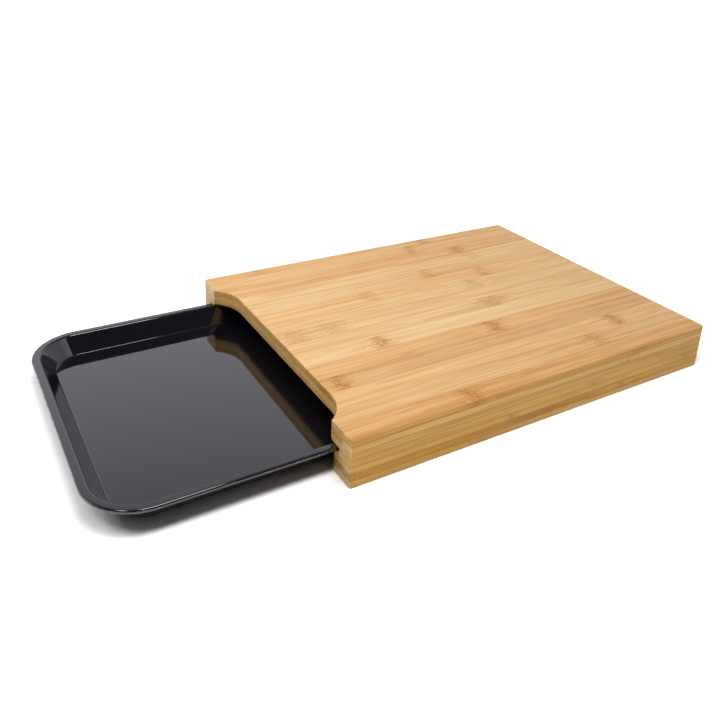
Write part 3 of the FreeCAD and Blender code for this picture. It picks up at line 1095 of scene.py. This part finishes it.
@dataclass
class Studio:
    """A white sweep with a darker room in front of it, softboxes overhead, and the camera.

    Attributes:
        boxes: the softboxes.
        ambient: how bright the white room is to the object's matt surfaces.
        patches: the dark room that the sweep opens to, and the gap at the sweep's far edge.
        patch_edges: how softly a patch ends at its sides and at its top.
        ceiling: sines of the elevations between which the white walls darken upwards.
        ceiling_level: brightness of the ceiling.
        right: shares of +X in a level direction between which the walls on the right darken.
        right_level: brightness of those walls.
        mirror_tint: colour of the room as gloss shows it.
        paper: the floor's colour to the camera and gloss, warm enough to tint a shadow. Lit, it is white.
        spread: how fast that colour brightens away from the right softbox, by (1 + spread * distance²)².
        bounce: the floor's colour to all other light.
        floor_size: half the floor's side.
        floor_gap: how far the floor lies below the object.
        lens: focal length of the camera in millimetres.
        sensor: width of its picture in millimetres.
        rise: shift of the picture.
        camera_place: where the camera stands.
        camera_turn: its angles about X, Y and Z, in degrees.
        camera_reach: the least distance that it sees.
    """

    boxes: tuple[Softbox, ...] = (
        Softbox("right_softbox", (-0.115, -0.31, 1.1), (0.45, 0.28), 4.3),
        Softbox("left_softbox", (-0.76, -0.31, 1.1), (0.22, 0.28), 2.0),
        Softbox("fill_light", (-0.16, -0.4, 1.1), (1.02, 0.28), 6.8, mirrored=False),
        Softbox("end_light", (-1.05, 0.55, 0.9), (0.5, 0.5), 5.4, mirrored=False),
    )
    ambient: float = 0.42
    patches: tuple[DarkPatch, ...] = (
        DarkPatch(-31.0, 69.0, 0.85, (0.05, 0.05, 0.055)),
        DarkPatch(150.0, 24.0, 0.3, (0.45, 0.42, 0.45)),
    )
    patch_edges: tuple[float, float] = (0.02, 0.1)
    ceiling: tuple[float, float] = (0.42, 0.85)
    ceiling_level: float = 0.3
    right: tuple[float, float] = (0.6, 0.95)
    right_level: float = 0.6
    mirror_tint: Colour = (1.11, 1.08, 1.18)
    paper: Colour = (1.14, 1.12, 1.13)
    spread: float = 0.75
    bounce: Colour = (0.82, 0.82, 0.82)
    floor_size: float = 6.0
    floor_gap: float = 0.2 * MM
    lens: float = 38.265
    sensor: float = 36.0
    rise: float = -0.18056
    camera_place: tuple[float, float, float] = (-0.33508, -0.52317, 0.36446)
    camera_turn: tuple[float, float, float] = (69.146, -2.375, -30.565)
    camera_reach: float = 10.0 * MM

    def build(self) -> None:
        """Set up the world, the lamps, the floor and the camera."""
        bpy.context.scene.view_settings.view_transform = "Standard"
        self.light_world()
        for box in self.boxes:
            self.hang(box)
        self.lay_floor()
        self.place_camera()
        LOG.info("studio: %d softboxes", len(self.boxes))

    def light_world(self) -> None:
        """Make the room: plain white to the camera, and white with a dark opening in front to all else."""
        world = bpy.data.worlds.new("studio")
        bpy.context.scene.world = world
        world.use_nodes = True
        tree = ShaderTree(world.node_tree)
        background = tree.tree.nodes["Background"]
        x, y, z = tree.split(tree.node("ShaderNodeTexCoord").outputs["Generated"])
        level = tree.math("ADD", tree.times(x, x), tree.times(y, y))
        level = tree.math("MAXIMUM", tree.math("SQRT", level), NOT_ZERO)
        ceiling = tree.step(z, *self.ceiling, 1.0, self.ceiling_level)
        right = tree.step(tree.math("DIVIDE", x, level), *self.right, 1.0, self.right_level)
        wall = tree.times(ceiling, right)
        room = tree.join(wall, wall, wall)
        side, top = self.patch_edges
        for patch in self.patches:
            angle = math.radians(patch.azimuth)
            facing = tree.math("ADD", tree.times(x, math.sin(angle)), tree.times(y, -math.cos(angle)))
            edge = math.cos(math.radians(patch.half_width))
            inside = tree.step(tree.math("DIVIDE", facing, level), edge - side, edge + side)
            inside = tree.times(inside, tree.fade(z, patch.top - top, patch.top + top))
            room = tree.blend(inside, room, patch.colour)
        path = tree.node("ShaderNodeLightPath")
        mirrored = tree.vector("MULTIPLY", room, self.mirror_tint)
        room = tree.blend(path.outputs["Is Glossy Ray"], room, mirrored)
        shown = tree.math("MAXIMUM", path.outputs["Is Camera Ray"], path.outputs["Is Transmission Ray"])
        tree.feed(background.inputs["Color"], tree.blend(shown, room, (1.0, 1.0, 1.0)))
        bright = tree.math("MAXIMUM", shown, path.outputs["Is Glossy Ray"])
        bright = tree.math("MULTIPLY_ADD", bright, 1.0 - self.ambient, self.ambient)
        tree.feed(background.inputs["Strength"], bright)

    def hang(self, box: Softbox) -> None:
        """Hang one softbox.

        Args:
            box: its place, size and power.
        """
        data = bpy.data.lights.new(box.name, "AREA")
        data.shape = "RECTANGLE"
        data.size, data.size_y = box.size
        data.energy = box.power
        lamp = bpy.data.objects.new(box.name, data)
        lamp.location = box.place
        lamp.visible_glossy = box.mirrored
        bpy.context.scene.collection.objects.link(lamp)

    def lay_floor(self) -> None:
        """Lay the white paper. It shows the object's shadow, and the camera can't see it from below."""
        size, height = self.floor_size, CAD_BOX[0].z - self.floor_gap
        corners = ((-size, -size), (size, -size), (size, size), (-size, size))
        mesh = bpy.data.meshes.new("paper_floor")
        mesh.from_pydata([(x, y, height) for x, y in corners], [], [(0, 1, 2, 3)])
        floor = bpy.data.objects.new("paper_floor", mesh)
        bpy.context.scene.collection.objects.link(floor)

        material = bpy.data.materials.new("white_paper")
        material.use_nodes = True
        tree = ShaderTree(material.node_tree)
        tree.tree.nodes.remove(tree.tree.nodes["Principled BSDF"])
        path = tree.node("ShaderNodeLightPath")
        seen = tree.math("MAXIMUM", path.outputs["Is Camera Ray"], path.outputs["Is Glossy Ray"])
        away = tree.node("ShaderNodeVectorMath", operation="LENGTH")
        lit = (*self.boxes[0].place[:2], 0.0)
        place = tree.node("ShaderNodeTexCoord").outputs["Object"]
        tree.feed(away.inputs[0], tree.vector("SUBTRACT", place, lit))
        away = away.outputs["Value"]
        gain = tree.math("MULTIPLY_ADD", tree.times(away, away), self.spread, 1.0)
        gain = tree.times(gain, gain)
        shown = tree.vector("MULTIPLY", tree.join(gain, gain, gain), self.paper)
        paper = tree.node("ShaderNodeBsdfDiffuse")
        tree.feed(paper.inputs["Color"], tree.blend(seen, self.bounce, shown))
        clear = tree.node("ShaderNodeBsdfTransparent")
        mixed = tree.node("ShaderNodeMixShader")
        below = tree.node("ShaderNodeNewGeometry").outputs["Backfacing"]
        tree.feed(mixed.inputs[0], tree.times(below, path.outputs["Is Camera Ray"]))
        tree.feed(mixed.inputs[1], paper.outputs[0])
        tree.feed(mixed.inputs[2], clear.outputs[0])
        tree.feed(tree.tree.nodes["Material Output"].inputs["Surface"], mixed.outputs[0])
        mesh.materials.append(material)

    def place_camera(self) -> None:
        """Stand the camera in front of the tray's near corner."""
        data = bpy.data.cameras.new("camera")
        data.lens, data.sensor_width = self.lens, self.sensor
        data.shift_y = self.rise
        data.clip_start = self.camera_reach
        camera = bpy.data.objects.new("camera", data)
        camera.location = self.camera_place
        camera.rotation_euler = [math.radians(angle) for angle in self.camera_turn]
        bpy.context.scene.collection.objects.link(camera)
        bpy.context.scene.camera = camera


def main() -> None:
    logging.basicConfig(level=logging.INFO, format="%(name)s: %(message)s")
    Studio().build()
    board = BoardBox()
    BoardSlab().dress(board)
    Rails().dress(board)
    DrawerTray().build()


if __name__ == "__main__":
    main()
